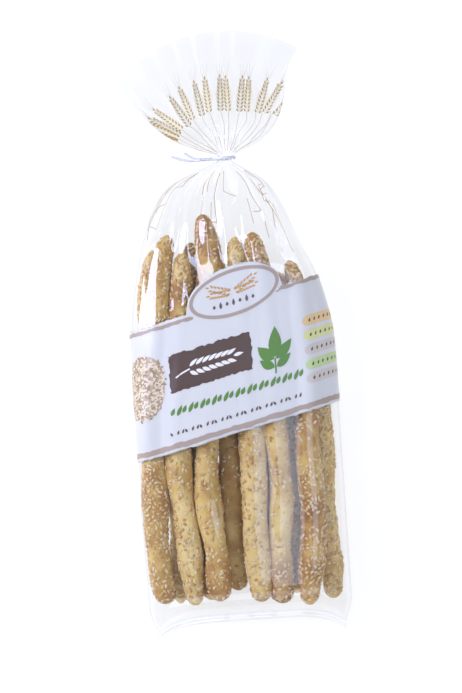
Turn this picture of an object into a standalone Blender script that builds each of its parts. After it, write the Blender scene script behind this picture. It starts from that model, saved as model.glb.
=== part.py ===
"""A bag of sesame grissini lying on its back: a clear film bag drawn over two layers of breadsticks, gathered
and tied at the neck, with its mouth spread in a fan, and a paper band round the middle.

x runs across the bag, y along it towards the neck, and z up from the floor. The origin is on the floor, under
the middle of the bundle. Lengths are in millimetres, and meshes are made in metres.
"""

import math

import bpy
import bmesh
from mathutils import Vector

MM = 0.001

# Grissini: x at the foot, below the band, above it and at the tip, then foot y, tip y and radius. The lower row
# lies on the floor side of the film, and the upper row rests in its hollows.
LOWER_ROW = [
    (-43, -43, -51, -47.5, -114, 111, 7),
    (-24, -25, -22, -22, -113, 114, 8.2),
    (-7, -7.2, -5.5, -6, -108, 108, 8.4),
    (13, 14, 13, 12, -113, 101, 8.3),
    (30.5, 33.6, 32, 31, -112, 92, 9.1),
    (52.5, 51.5, 49, 45.5, -117, 85, 8.2),
]
UPPER_ROW = [
    (-53, -55, -43, -35.5, -112, 119, 8.2),
    (-33, -38, -28, -27.5, -114, 107.5, 8.4),
    (-18.3, -21, -11.8, -12.8, -112, 130.5, 8.6),
    (6.7, 7.4, 6, 7.5, -114, 115, 8.8),
    (20.5, 23.4, 21.5, 17.5, -116, 117, 8.4),
    (38.5, 43.6, 42.5, 39, -118, 98, 8.2),
]
BELOW_BAND_Y = -30
ABOVE_BAND_Y = 83
SUPPORT_PLACES = (-105, 60)  # y of the two places that set the height and slope of an upper stick
TIP_ROUNDING = 12  # the stretch over which a stick's tip rounds off
FOOT_ROUNDING = 8
TIP_TAPER, TIP_TAPER_LENGTH = 0.24, 45  # share of the radius lost towards the tip, and over what length
FOOT_TAPER, FOOT_TAPER_LENGTH = 0.2, 28
BEND_LENGTH = 95  # a stick's slight snaking repeats about this often
BEND_DEPTH = 1.0
BULGE_LENGTH = 52
BULGE_SHARE = 0.055  # of the stick's radius
STICK_CLEARANCE = 0.4  # left between two sticks that rest on each other

# Bag film
FILM_GAP = 1.0  # from a stick's crust to the film, taken up by the sesame seeds
FILM_FLOOR = 0.85  # height of the underside, which the band lifts off the floor
SAG_LIMIT = 1.0  # deepest dip of the film between two sticks
SAG_PAST_STICKS = 1.0
SIDE_SAG_SHARE = 0.25  # of that limit, for the sides and the underside
SIDE_REACH = 0.6  # the sides end this far up, as the sine of the angle round the bag
SIDE_WIDTH = 20  # the film moves straight down on the sticks, but obliquely this near to the bag's side
SAG_ROUNDING = 3.0  # softens the crease where the film is as near to one stick as to the next
TIPS_RANGE = (95, 125)  # y over which the sticks' tips end
FEET_RANGE = (-106, -116)
NECK_SAG_RANGE = (158, 140)  # y over which the dips fade out towards the neck
BAND_TAUTNESS = 0.8  # share of a dip that is left where the band bridges it
BAND_FADE = (4, 8)  # how far inside and outside the band's edges that tautness fades
MIDDLE_HEIGHT = 15.0
HALF_WIDTHS = [
    (-100, 64.2), (0, 64.3), (45, 63.8), (60, 63), (89, 57.3), (109, 50.8), (117, 47.8),
    (135, 40.2), (150, 29.5), (159, 13.5), (163.2, 4.9), (165.4, 4.6), (167.6, 4.9),
]
CENTRE_LINE = [(45, 0.3), (89, -1.3), (109, -3.2), (135, -3.7), (150, -2.5), (159, 0.5), (165.4, 4.3)]
TOP_HEIGHTS = [(85, 37), (100, 36), (115, 34), (130, 31), (145, 26.5), (158, 21), (165.4, 19.1)]
LOW_HEIGHTS = [(95, FILM_FLOOR), (130, 3), (145, 5.5), (158, 8.5), (165.4, 9.9)]
NECK_HEIGHT = 14.5
NARROWING = (110, 160)  # y over which the section turns into the neck's ellipse
TOP_SQUARENESS = 2.6  # superellipse powers of the section: 2 is an ellipse, more is boxier
LOW_SQUARENESS = 4.0
LOW_OVERREACH = 1.3  # the lower half would reach this far down if the floor didn't flatten it

# Bottom end: the film closes over the feet and ends in a flat seal whose corners stick out as ears
END_START = -100
SEAL_START = -122
SEAL_EDGE = -127
EAR_LENGTH = 10
EAR_SHARPNESS = 5
SEAL_HALF_WIDTH = 60
SEAL_THICKNESS = 1.2
SEAL_BEVEL = 0.25  # share of a half section over which the seal thins out to its side
SEAL_HEIGHT = 12
END_ROUNDNESS = 2.4
END_NARROWING_START = 0.5  # share of the end past which it narrows to the seal's width

# Pleats that run into the neck
PLEATS = 22
PLEAT_DEPTH = 1.3
PLEAT_RANGE = (92, 140)  # y over which they deepen, before the neck draws them tight
NECK_PLEAT_DEPTH = 0.45
NECK_PLEAT_START = 145
NECK_START = 163.2
NECK_MIDDLE = 165.4
NECK_END = 167.6

# Fan: the bag's open mouth, two layers of film spread as a sector above the tie
FAN_RADIUS = 79
FAN_LEFT_DEG = 50.5
FAN_RIGHT_DEG = 35
FAN_LEFT_FLARE_DEG = 21  # wider near the neck by this much
FAN_RIGHT_FLARE_DEG = 34
FAN_LEFT_FLARE_RANGE = (1.05, 0.15)  # shares of the radius over which the flare grows towards the neck
FAN_RIGHT_FLARE_RANGE = (0.9, 0.1)
FAN_HALF_THICKNESS = 6.5
FAN_RIM_HALF_THICKNESS = 0.9
FAN_THINNING = (0.1, 0.95)
FAN_RIM_HEIGHT = 10
FAN_RIPPLES = 4.5
FAN_RIPPLE_PHASE = 1.0  # radians
FAN_RIPPLE_DEPTH = 0.7
FAN_RIPPLE_RANGE = (0.1, 0.8)
FAN_SPREAD_SHARE = 0.2  # the neck's round section has spread into the fan by this share of the radius

# Paper band: a sleeve round the bag, set askew, with an oval badge on its top edge
BAND_LOW_EDGE = -7.2  # y at the middle of the bag
BAND_HIGH_EDGE = 74.4
BAND_SLOPE = 0.235
BAND_GAP = 0.35
BAND_THICKNESS = 0.5
BADGE_X = 3.3
BADGE_Y = 80
BADGE_HALF_LENGTH = 30
BADGE_HALF_HEIGHT = 16.3

# Twist tie: one flat ribbon round the neck, its ends twisted together and turned out to the left
TIE_HALF_WIDTH = 0.85
TIE_HALF_THICKNESS = 0.35
TIE_RADIUS = 6.0
TIE_LOOP_OPENING_DEG = 26  # half the gap where the loop turns into the twist
TIE_TWIST_GAP = 2.5  # from the loop to the first turn of the twist
TIE_HELIX_RADIUS = 0.7
TIE_TWIST_LENGTH = 8
TIE_TURNS = 1.25
TIE_TAILS = (18, 9.5)  # free length of each end past the twist
TIE_SPREAD_DEG = (13, 24)
TIE_TAIL_DROP = 0.1  # the tails sink by this share of their length
TIE_LEVELLING = 0.6  # share of a tail's length by which its flat side faces up

# Mesh steps
SECTION_STEPS = 44  # over the top of a section, and as many underneath
END_SHARES = (1, 0.97, 0.9, 0.78, 0.6, 0.35)
BODY_STRETCHES = [(END_START, 92, 24), (92, 148, 9), (148, NECK_START, 4)]  # first y, last y, steps
FAN_SHARES = (0, 0.04, 0.1, 0.18, 0.28, 0.4, 0.54, 0.69, 0.84, 1)
BAND_ROWS = 9
TIE_LOOP_STEPS = 32
TIE_TWIST_STEPS = 16
TIE_TAIL_STEPS = 8
TIE_SIDES = 8
SHARP_DEG = 40  # edges sharper than this aren't shaded smooth


def smooth(low, high, value):
    """0 at low, 1 at high, level past them, and an even S-curve between them."""
    share = min(1.0, max(0.0, (value - low) / (high - low)))
    return share * share * (3 - 2 * share)


def mix(first, second, share):
    return first + (second - first) * share


def along(profile, place):
    """Value at place on a smooth curve through a profile's (place, value) pairs, level past its ends."""
    if place <= profile[0][0]:
        return profile[0][1]
    if place >= profile[-1][0]:
        return profile[-1][1]
    i = max(n for n in range(len(profile) - 1) if profile[n][0] <= place)

    def slope(n):
        before, after = profile[max(n - 1, 0)], profile[min(n + 1, len(profile) - 1)]
        return (after[1] - before[1]) / (after[0] - before[0])

    (x0, y0), (x1, y1) = profile[i], profile[i + 1]
    span = x1 - x0
    t = (place - x0) / span
    start = y0 * (1 + 2 * t) * (1 - t) ** 2 + slope(i) * span * t * (1 - t) ** 2
    end = y1 * t * t * (3 - 2 * t) + slope(i + 1) * span * t * t * (t - 1)
    return start + end


class Stick:
    """One grissino: a gently snaking rod along y that lies straight on what is below it."""

    def __init__(self, row, number, below=()):
        foot_x, low_x, high_x, tip_x, self.foot_y, self.tip_y, self.radius = row
        self.route = [(self.foot_y, foot_x), (BELOW_BAND_Y, low_x), (ABOVE_BAND_Y, high_x), (self.tip_y, tip_x)]
        self.phase = 1.7 * number
        self.heights = [self.resting_height(y, below) for y in SUPPORT_PLACES]

    def x(self, y):
        return along(self.route, y) + BEND_DEPTH * math.sin(2 * math.pi * y / BEND_LENGTH + self.phase)

    def z(self, y):
        near, far = SUPPORT_PLACES
        return mix(*self.heights, (y - near) / (far - near))

    def radius_at(self, y):
        """Radius at y, tapered and rounded off at both ends, and None past them."""
        to_foot, to_tip = y - self.foot_y, self.tip_y - y
        if min(to_foot, to_tip) <= 0:
            return None
        bulge = 1 + BULGE_SHARE * math.sin(2 * math.pi * y / BULGE_LENGTH + 2 * self.phase)
        taper = (1 - TIP_TAPER * smooth(TIP_TAPER_LENGTH, 0, to_tip)) * (
            1 - FOOT_TAPER * smooth(FOOT_TAPER_LENGTH, 0, to_foot))
        into_end = max(0.0, 1 - to_foot / FOOT_ROUNDING, 1 - to_tip / TIP_ROUNDING)
        return self.radius * bulge * taper * math.sqrt(1 - into_end ** 2)

    def resting_height(self, y, below):
        """Height of the centre where this stick lies on the film or on the sticks below it."""
        heights = [FILM_FLOOR + FILM_GAP + self.radius]
        for other in below:
            across = self.x(y) - other.x(y)
            reach = self.radius + other.radius + STICK_CLEARANCE
            if abs(across) < reach:
                heights.append(other.z(y) + math.sqrt(reach ** 2 - across ** 2))
        return max(heights)


lower_sticks = [Stick(row, number) for number, row in enumerate(LOWER_ROW)]
upper_sticks = [Stick(row, number + len(LOWER_ROW), lower_sticks) for number, row in enumerate(UPPER_ROW)]
sticks = lower_sticks + upper_sticks


def clearance(x, y, z):
    """Distance in the section at y from a point to the film's nearest seat on a stick."""
    nearest = 2 * SAG_LIMIT
    for stick in sticks:
        radius = stick.radius_at(y)
        if radius is not None:
            distance = math.hypot(x - stick.x(y), z - stick.z(y)) - radius - FILM_GAP
            blend = max(0, 1 - abs(distance - nearest) / SAG_ROUNDING)
            nearest = min(nearest, distance) - blend ** 2 * SAG_ROUNDING / 4
    return nearest


def band_edges(x):
    """y of the band's low and high edge at x, without the badge."""
    return BAND_LOW_EDGE + BAND_SLOPE * x, BAND_HIGH_EDGE + BAND_SLOPE * x


def under_band(x, y):
    """1 where the band bridges the dips between the sticks, fading to 0 outside it."""
    low, high = band_edges(x)
    inside, outside = BAND_FADE
    return smooth(low - outside, low + inside, y) * smooth(high + outside, high - inside, y)


def draped(x, y, z, middle_x, half_width, middle_z, upward):
    """A point of the taut bag moved inwards until the film meets a stick or reaches its deepest dip. Upward is
    1 on top of the bag, 0 at its sides and less underneath."""
    reach = max(half_width - SIDE_WIDTH, 0)
    inner_x = middle_x + max(-reach, min(reach, x - middle_x))
    inwards = Vector((inner_x - x, 0, middle_z - z))
    if inwards.length == 0:
        return Vector((x, y, z))
    past_sticks = max(smooth(*TIPS_RANGE, y), smooth(*FEET_RANGE, y))
    limit = mix(SAG_LIMIT, SAG_PAST_STICKS, past_sticks) * smooth(*NECK_SAG_RANGE, y)
    limit *= mix(SIDE_SAG_SHARE, 1, smooth(0, SIDE_REACH, upward))
    depth = min(clearance(x, y, z), limit)
    if depth > 0:
        depth *= mix(1, BAND_TAUTNESS, under_band(x, y))
    return Vector((x, y, z)) + inwards.normalized() * depth


def pleat_depth(y):
    if y >= NECK_START:
        return NECK_PLEAT_DEPTH
    loose = PLEAT_DEPTH * smooth(*PLEAT_RANGE, y)
    return mix(loose, NECK_PLEAT_DEPTH, smooth(NECK_PLEAT_START, NECK_START, y))


def body_point(angle, y):
    """Point of the film between the bottom end and the neck. The angle runs from 0 at the right edge over the
    top to pi at the left edge, and back underneath."""
    half_width, middle_x = along(HALF_WIDTHS, y), along(CENTRE_LINE, y)
    narrowing = smooth(*NARROWING, y)
    middle_z = mix(MIDDLE_HEIGHT, NECK_HEIGHT, narrowing)
    cosine, upward = math.cos(angle), math.sin(angle)
    low = along(LOW_HEIGHTS, y)
    if upward >= 0:
        power = mix(TOP_SQUARENESS, 2, narrowing)
        reach = along(TOP_HEIGHTS, y) - middle_z
    else:
        power = mix(LOW_SQUARENESS, 2, narrowing)
        reach = (low - middle_z) * mix(LOW_OVERREACH, 1, narrowing)
    x = middle_x + half_width * cosine
    z = middle_z + reach * (1 - min(1, abs(cosine)) ** power) ** (1 / power)
    point = draped(x, y, z, middle_x, half_width, middle_z, upward)
    point += Vector((cosine, 0, upward)) * (pleat_depth(y) * math.cos(PLEATS * angle))
    point.z = max(point.z, low if y < NECK_START else 0)
    return point


def end_point(angle, share):
    """Point of the bottom end: share 0 is the body's last full section, and 1 the start of the seal."""
    cosine, upward = math.cos(angle), math.sin(angle)
    ear = EAR_LENGTH * abs(cosine) ** EAR_SHARPNESS
    y = mix(END_START, SEAL_START - ear, share)
    full = body_point(angle, max(y, SEAL_START))
    closing = (1 - share ** END_ROUNDNESS) ** (1 / END_ROUNDNESS)
    half_thickness = SEAL_THICKNESS / 2 * min(1, abs(upward) / SEAL_BEVEL)
    flat_z = SEAL_HEIGHT + math.copysign(half_thickness, upward)
    full_half_width = HALF_WIDTHS[0][1]
    narrow = mix(1, SEAL_HALF_WIDTH / full_half_width, smooth(END_NARROWING_START, 1, share))
    return Vector((full.x * narrow, y, mix(flat_z, full.z, closing)))


def seal_point(angle, share):
    """Point of the flat seal: share 0 is its start and 1 the bag's bottom edge."""
    point = end_point(angle, 1)
    point.y += share * (SEAL_EDGE - SEAL_START)
    return point


def fan_point(angle, share):
    """Point of the fan: share 0 is the neck and 1 the rim of the mouth."""
    across = (math.cos(angle) + 1) / 2
    left = -FAN_LEFT_DEG - FAN_LEFT_FLARE_DEG * smooth(*FAN_LEFT_FLARE_RANGE, share)
    right = FAN_RIGHT_DEG + FAN_RIGHT_FLARE_DEG * smooth(*FAN_RIGHT_FLARE_RANGE, share)
    lean = math.radians(mix(left, right, across))
    out = FAN_RADIUS * share
    neck = body_point(angle, NECK_END)
    wave = math.sin(2 * math.pi * FAN_RIPPLES * across + FAN_RIPPLE_PHASE) * math.sin(math.pi * across)
    ripple = FAN_RIPPLE_DEPTH * wave * smooth(*FAN_RIPPLE_RANGE, share)
    middle = mix(NECK_HEIGHT, FAN_RIM_HEIGHT, share) + ripple
    thickness = mix(FAN_HALF_THICKNESS, FAN_RIM_HALF_THICKNESS, smooth(*FAN_THINNING, share))
    spread_z = middle + thickness * math.sin(angle)
    pleat = NECK_PLEAT_DEPTH * (1 - share) * math.cos(PLEATS * angle) * math.copysign(1, math.sin(angle))
    z = mix(neck.z, spread_z + pleat, smooth(0, FAN_SPREAD_SHARE, share))
    return Vector((neck.x + out * math.sin(lean), NECK_END + out * math.cos(lean), z))


def section_angles():
    """Angles round a section, from the right edge over the top and back underneath."""
    return [math.pi * n / SECTION_STEPS for n in range(2 * SECTION_STEPS)]


def even(first, last, steps):
    """Values from first to last in that many equal steps, last left out."""
    return [mix(first, last, n / steps) for n in range(steps)]


def bag_rings():
    angles = section_angles()
    rings = [[seal_point(angle, 1) for angle in angles]]
    rings += [[end_point(angle, share) for angle in angles] for share in END_SHARES]
    places = [y for stretch in BODY_STRETCHES for y in even(*stretch)] + [NECK_START, NECK_MIDDLE]
    rings += [[body_point(angle, y) for angle in angles] for y in places]
    rings += [[fan_point(angle, share) for angle in angles] for share in FAN_SHARES]
    return rings


def new_object(name, mesh, material):
    mesh.materials.append(material)
    mesh.shade_smooth()
    mesh.set_sharp_from_angle(angle=math.radians(SHARP_DEG))
    piece = bpy.data.objects.new(name, mesh)
    bpy.context.scene.collection.objects.link(piece)
    return piece


def finished_mesh(name, shape):
    """The mesh of a closed bmesh, with its faces as triangles that point out."""
    bmesh.ops.recalc_face_normals(shape, faces=shape.faces)
    bmesh.ops.triangulate(shape, faces=shape.faces, quad_method="SHORT_EDGE")
    mesh = bpy.data.meshes.new(name)
    shape.to_mesh(mesh)
    shape.free()
    return mesh


def add_ring(shape, points):
    return [shape.verts.new(point * MM) for point in points]


def join_rings(shape, first, second):
    for n in range(len(first)):
        after = (n + 1) % len(first)
        shape.faces.new((first[n], first[after], second[after], second[n]))


def close_flat_ring(shape, ring):
    """Fills a thin ring with a strip from its upper side to its lower side."""
    count = len(ring)
    for n in range(SECTION_STEPS):
        corners = [ring[n], ring[n + 1], ring[(count - n - 1) % count], ring[(count - n) % count]]
        shape.faces.new(list(dict.fromkeys(corners)))


def make_bag(material):
    shape = bmesh.new()
    rings = [add_ring(shape, points) for points in bag_rings()]
    for first, second in zip(rings, rings[1:]):
        join_rings(shape, first, second)
    close_flat_ring(shape, rings[0])
    close_flat_ring(shape, rings[-1])
    return new_object("bag", finished_mesh("bag", shape), material)


def badge_top(x):
    """y of the badge's upper edge at x, or None beside it."""
    from_middle = (x - BADGE_X) / BADGE_HALF_LENGTH
    if abs(from_middle) >= 1:
        return None
    rise = BADGE_HALF_HEIGHT * math.sqrt(1 - from_middle ** 2)
    return BADGE_Y + BAND_SLOPE * (x - BADGE_X) + rise


def band_span(angle):
    """y where the line at this angle on the film enters and leaves the band."""
    low = high = 0
    for _ in range(4):
        low = band_edges(body_point(angle, low).x)[0]
        high = band_edges(body_point(angle, high).x)[1]
    badge = badge_top(body_point(angle, high).x)
    if badge is not None and math.sin(angle) > 0:
        high = max(high, badge)
    return low, high


def band_point(angle, y, offset):
    """Point of the band: on the film at this angle and y, lifted off it by the offset."""
    step = 0.5
    turn = math.radians(1)
    around = body_point(angle + turn, y) - body_point(angle - turn, y)
    forward = body_point(angle, y + step) - body_point(angle, y - step)
    return body_point(angle, y) + forward.cross(around).normalized() * offset


def make_band(material):
    shape = bmesh.new()
    spans = [(angle, *band_span(angle)) for angle in section_angles()]
    shares = [n / BAND_ROWS for n in range(BAND_ROWS + 1)]
    outer, inner = BAND_GAP + BAND_THICKNESS, BAND_GAP
    loops = [(share, outer) for share in shares] + [(share, inner) for share in reversed(shares)]
    rings = [
        add_ring(shape, [band_point(angle, mix(low, high, share), offset) for angle, low, high in spans])
        for share, offset in loops
    ]
    for first, second in zip(rings, rings[1:] + rings[:1]):
        join_rings(shape, first, second)
    return new_object("label_band", finished_mesh("label_band", shape), material)


def tie_end(side):
    """Centre points and outward directions of one end of the tie, from the neck to its tip. Side is 0 or 1."""
    middle_x = along(CENTRE_LINE, NECK_MIDDLE)
    start = Vector((middle_x - TIE_RADIUS - TIE_TWIST_GAP, NECK_MIDDLE, NECK_HEIGHT))
    first_turn = math.pi / 2 if side == 0 else -math.pi / 2
    stations = []
    for n in range(TIE_TWIST_STEPS + 1):
        share = n / TIE_TWIST_STEPS
        turn = first_turn + 2 * math.pi * TIE_TURNS * share
        out = Vector((0, math.cos(turn), math.sin(turn)))
        stations.append((start + Vector((-TIE_TWIST_LENGTH * share, 0, 0)) + out * TIE_HELIX_RADIUS, out))
    last, out = stations[-1]
    lean = math.radians(TIE_SPREAD_DEG[side])
    level = Vector((0, 0, math.copysign(1, out.z)))
    for n in range(1, TIE_TAIL_STEPS + 1):
        share = n / TIE_TAIL_STEPS
        run = TIE_TAILS[side] * share
        place = last + Vector((-run, run * math.tan(lean) * share, -TIE_TAIL_DROP * run))
        stations.append((place, out.lerp(level, smooth(0, TIE_LEVELLING, share)).normalized()))
    return stations


def tie_stations():
    """Centre points and outward directions along the whole ribbon, from one tip round the neck to the other."""
    centre = Vector((along(CENTRE_LINE, NECK_MIDDLE), NECK_MIDDLE, NECK_HEIGHT))
    opening = math.radians(TIE_LOOP_OPENING_DEG)
    loop = []
    for n in range(TIE_LOOP_STEPS + 1):
        turn = mix(math.pi - opening, opening - math.pi, n / TIE_LOOP_STEPS)
        out = Vector((math.cos(turn), 0, math.sin(turn)))
        loop.append((centre + out * TIE_RADIUS, out))
    return list(reversed(tie_end(0))) + loop + tie_end(1)


def make_tie(material):
    """The tie as one swept ribbon with a flattened section."""
    stations = tie_stations()
    shape = bmesh.new()
    rings = []
    for n, (point, out) in enumerate(stations):
        before, after = stations[max(n - 1, 0)][0], stations[min(n + 1, len(stations) - 1)][0]
        sideways = (after - before).cross(out).normalized()
        upright = sideways.cross(after - before).normalized()
        corners = []
        for k in range(TIE_SIDES):
            turn = 2 * math.pi * (k + 0.5) / TIE_SIDES
            wide, thick = TIE_HALF_WIDTH * math.cos(turn), TIE_HALF_THICKNESS * math.sin(turn)
            corners.append(point + sideways * wide + upright * thick)
        rings.append(add_ring(shape, corners))
    for first, second in zip(rings, rings[1:]):
        join_rings(shape, first, second)
    shape.faces.new(rings[0])
    shape.faces.new(rings[-1])
    return new_object("twist_tie", finished_mesh("twist_tie", shape), material)


def new_material(name, colour, roughness):
    material = bpy.data.materials.new(name)
    material.use_nodes = True
    shader = material.node_tree.nodes["Principled BSDF"]
    shader.inputs["Base Color"].default_value = (*colour, 1)
    shader.inputs["Roughness"].default_value = roughness
    shader.inputs["Metallic"].default_value = 0
    return material


def main():
    for piece in list(bpy.data.objects):
        bpy.data.objects.remove(piece)
    make_bag(new_material("film_over_grissini", (0.72, 0.48, 0.22), 0.25))
    make_band(new_material("printed_paper", (0.85, 0.85, 0.9), 0.5))
    make_tie(new_material("pale_plastic", (0.62, 0.68, 0.88), 0.4))


main()
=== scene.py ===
"""Looks of a bag of sesame grissini lying on its back: the breadsticks and their seeds, the clear film drawn
over them, the printed band and its badge, the ears of wheat printed round the mouth, and the twist tie.

x runs across the bag, y along it towards the neck, and z up from the floor. Lengths are in millimetres, as in
the part, and meshes are made in metres. Colours are given as they look on a screen, from 0 to 255.
"""

import itertools
import math

import bpy
import numpy as np
from mathutils import Matrix


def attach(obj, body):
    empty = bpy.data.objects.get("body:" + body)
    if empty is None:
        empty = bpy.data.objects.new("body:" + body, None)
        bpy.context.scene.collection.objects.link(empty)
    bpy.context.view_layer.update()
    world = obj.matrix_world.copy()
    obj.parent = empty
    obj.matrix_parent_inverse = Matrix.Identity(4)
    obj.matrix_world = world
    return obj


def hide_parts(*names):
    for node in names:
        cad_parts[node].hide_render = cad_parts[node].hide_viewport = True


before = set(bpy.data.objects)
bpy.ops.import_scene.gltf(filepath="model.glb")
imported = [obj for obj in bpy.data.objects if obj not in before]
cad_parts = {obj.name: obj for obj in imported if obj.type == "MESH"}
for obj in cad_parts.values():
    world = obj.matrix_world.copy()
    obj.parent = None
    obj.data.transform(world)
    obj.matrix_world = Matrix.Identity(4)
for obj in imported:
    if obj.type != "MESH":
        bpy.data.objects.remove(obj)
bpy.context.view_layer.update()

MM = 0.001
FAR = 1000  # farther than the bag reaches

# Grissini, as in the part: x at the foot, below the band, above it and at the tip, foot y, tip y and radius
LOWER_ROW = [
    (-43, -43, -51, -47.5, -114, 111, 7),
    (-24, -25, -22, -22, -113, 114, 8.2),
    (-7, -7.2, -5.5, -6, -108, 108, 8.4),
    (13, 14, 13, 12, -113, 101, 8.3),
    (30.5, 33.6, 32, 31, -112, 92, 9.1),
    (52.5, 51.5, 49, 45.5, -117, 85, 8.2),
]
UPPER_ROW = [
    (-53, -55, -43, -35.5, -112, 119, 8.2),
    (-33, -38, -28, -27.5, -114, 107.5, 8.4),
    (-18.3, -21, -11.8, -12.8, -112, 130.5, 8.6),
    (6.7, 7.4, 6, 7.5, -114, 115, 8.8),
    (20.5, 23.4, 21.5, 17.5, -116, 117, 8.4),
    (38.5, 43.6, 42.5, 39, -118, 98, 8.2),
]
BELOW_BAND_Y = -30
ABOVE_BAND_Y = 83
SUPPORT_PLACES = (-105, 60)
TIP_ROUNDING = 12
FOOT_ROUNDING = 8
TIP_TAPER, TIP_TAPER_LENGTH = 0.24, 45
FOOT_TAPER, FOOT_TAPER_LENGTH = 0.2, 28
BEND_LENGTH = 95
BEND_DEPTH = 1.0
BULGE_LENGTH = 52
BULGE_SHARE = 0.055
STICK_CLEARANCE = 0.4

# How each stick is baked: browning from 0, pale, to 1, brown, and how thickly it is sown with seeds
# The fifth stick of the lower row lies deep in shade under the upper row; its pale bake and thick sowing of
# seeds are painted light.
LOWER_BAKES = [(0.3, 0.9), (0.5, 0.8), (0.48, 0.35), (0.45, 0.8), (0.12, 1.3), (0.33, 1.25)]
UPPER_BAKES = [(0.4, 1.3), (0.35, 0.9), (0.42, 0.65), (0.26, 1.1), (0.42, 1.05), (0.54, 1.15)]

# Crust relief
CRUST_COLUMNS = 48
CRUST_ROW_STEP = 1.1
CRUST_END_ROWS = 9
CRUST_MEAN_DROP = 0.65  # the mean crust lies this far inside the part's round stick
CRUST_HIGHEST = 0.4
LUMP_SIZE, LUMP_DEPTH = 16, 1.4
BUMP_SIZE, BUMP_DEPTH = 6, 0.5
GRAIN_SIZE, GRAIN_DEPTH = 1.8, 0.13
CREASE_WIDTH, CREASE_DEPTH, CREASE_PITCH = 1.7, 0.9, 130  # the helical seam left by rolling the dough
NOISE_APART = 400  # from where one stick reads the noise to where the next does

# Sesame seeds
SEED_LENGTH = 2.9
SEED_SPACING = 1.75
SEEDS_PER_AREA = 1 / 11.5  # for each square millimetre of a stick sown at 1
SEED_LIFT = 0.14  # from the crust up to a seed's middle
PALE_SHARE = 0.6

# Bag film, as in the part
FILM_GAP = 1.0
FILM_FLOOR = 0.85
SAG_LIMIT = 0.15  # the film is tauter than the part's, whose dips show the sticks
SAG_PAST_STICKS = 0.6
SIDE_SAG_SHARE = 0.25
SIDE_REACH = 0.6
SIDE_WIDTH = 20
SAG_ROUNDING = 3.0
TIPS_RANGE = (95, 125)
FEET_RANGE = (-106, -116)
NECK_SAG_RANGE = (158, 140)
BAND_TAUTNESS = 0.8
BAND_FADE = (4, 8)
MIDDLE_HEIGHT = 15.0
HALF_WIDTHS = [
    (-100, 64.2), (0, 64.3), (45, 63.8), (60, 63), (89, 57.3), (109, 50.8), (117, 47.8),
    (135, 40.2), (150, 29.5), (159, 13.5), (163.2, 4.9), (165.4, 4.6), (167.6, 4.9),
]
CENTRE_LINE = [(45, 0.3), (89, -1.3), (109, -3.2), (135, -3.7), (150, -2.5), (159, 0.5), (165.4, 4.3)]
TOP_HEIGHTS = [(85, 37), (100, 36), (115, 34), (130, 31), (145, 26.5), (158, 21), (165.4, 19.1)]
LOW_HEIGHTS = [(95, FILM_FLOOR), (130, 3), (145, 5.5), (158, 8.5), (165.4, 9.9)]
NECK_HEIGHT = 14.5
NARROWING = (110, 160)
TOP_SQUARENESS = 2.6
LOW_SQUARENESS = 4.0
LOW_OVERREACH = 1.3

# Bottom end of the bag, as in the part
END_START = -100
SEAL_START = -122
SEAL_EDGE = -127
EAR_LENGTH = 10
EAR_SHARPNESS = 5
SEAL_HALF_WIDTH = 60
SEAL_THICKNESS = 1.2
SEAL_BEVEL = 0.25
SEAL_HEIGHT = 12
END_ROUNDNESS = 2.4

# Pleats and fan, as in the part
PLEATS = 22
PLEAT_DEPTH = 1.3
PLEAT_RANGE = (92, 140)
NECK_PLEAT_DEPTH = 0.45
NECK_PLEAT_START = 145
NECK_START = 163.2
NECK_MIDDLE = 165.4
NECK_END = 167.6
FAN_RADIUS = 79
FAN_LEFT_DEG = 50.5
FAN_RIGHT_DEG = 35
FAN_LEFT_FLARE_DEG = 21
FAN_RIGHT_FLARE_DEG = 34
FAN_LEFT_FLARE_RANGE = (1.05, 0.15)
FAN_RIGHT_FLARE_RANGE = (0.9, 0.1)
FAN_HALF_THICKNESS = 6.5
FAN_RIM_HALF_THICKNESS = 0.9
FAN_THINNING = (0.1, 0.95)
FAN_RIM_HEIGHT = 10
FAN_RIPPLES = 4.5
FAN_RIPPLE_PHASE = 1.0
FAN_RIPPLE_DEPTH = 0.7
FAN_RIPPLE_RANGE = (0.1, 0.8)
FAN_SPREAD_SHARE = 0.2

# Finer folds of the film, which the part leaves out
FILM_COLUMNS = 304
FILM_ROW_STEP = 1.35
FILM_END_ROWS = 26
FILM_FAN_ROWS = 52
FOLD_WANDER = 0.9  # how far the pleats stray from even spacing, in radians of their wave
CREASE_SPACING = (9, 34, 9)  # size of the film's creases across, along and up
CREASE_WANDER = 6
TAUT_CREASE, LOOSE_CREASE = 0.05, 0.45  # height over the sticks, and over the shoulder and the bottom end
LOOSENING, TIGHTENING = (112, 135), (166, 150)  # y over which the shoulder's creases grow and end
END_LOOSENING = (-98, -112)
NECK_CREASE_RANGE = (NECK_END, 160)
FACET_SPACING, FACET_DEPTH = (24, 52, 24), 0.22  # broad flat facets with sharp folds between them
FACET_LEAN = 0.3  # their folds lean off the bag's length by this slope
UNDERSIDE_CREASE = 0.3  # share of the creases' height on the underside
SEAL_WAVE, SEAL_WAVE_SPACING = 0.8, (17, 40, 1)
FAN_CREASE = 0.05
FAN_CRUMPLING_RANGE = (0, 0.3)  # shares of the fan's radius over which its film gets crumpled

# Paper band, as in the part, but thinner by the print's lift, so that the print below lies on the floor
BAND_LOW_EDGE = -7.2
BAND_HIGH_EDGE = 74.4
BAND_SLOPE = 0.235
BAND_GAP = 0.35
BAND_THICKNESS = 0.35
BADGE_X = 3.3
BADGE_Y = 80
BADGE_HALF_LENGTH = 30
BADGE_HALF_HEIGHT = 16.3
BAND_COLUMNS = 320
BAND_ROWS = 60
BAND_EDGE_WEAR = 0.45  # how far its torn-looking edges stray

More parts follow.
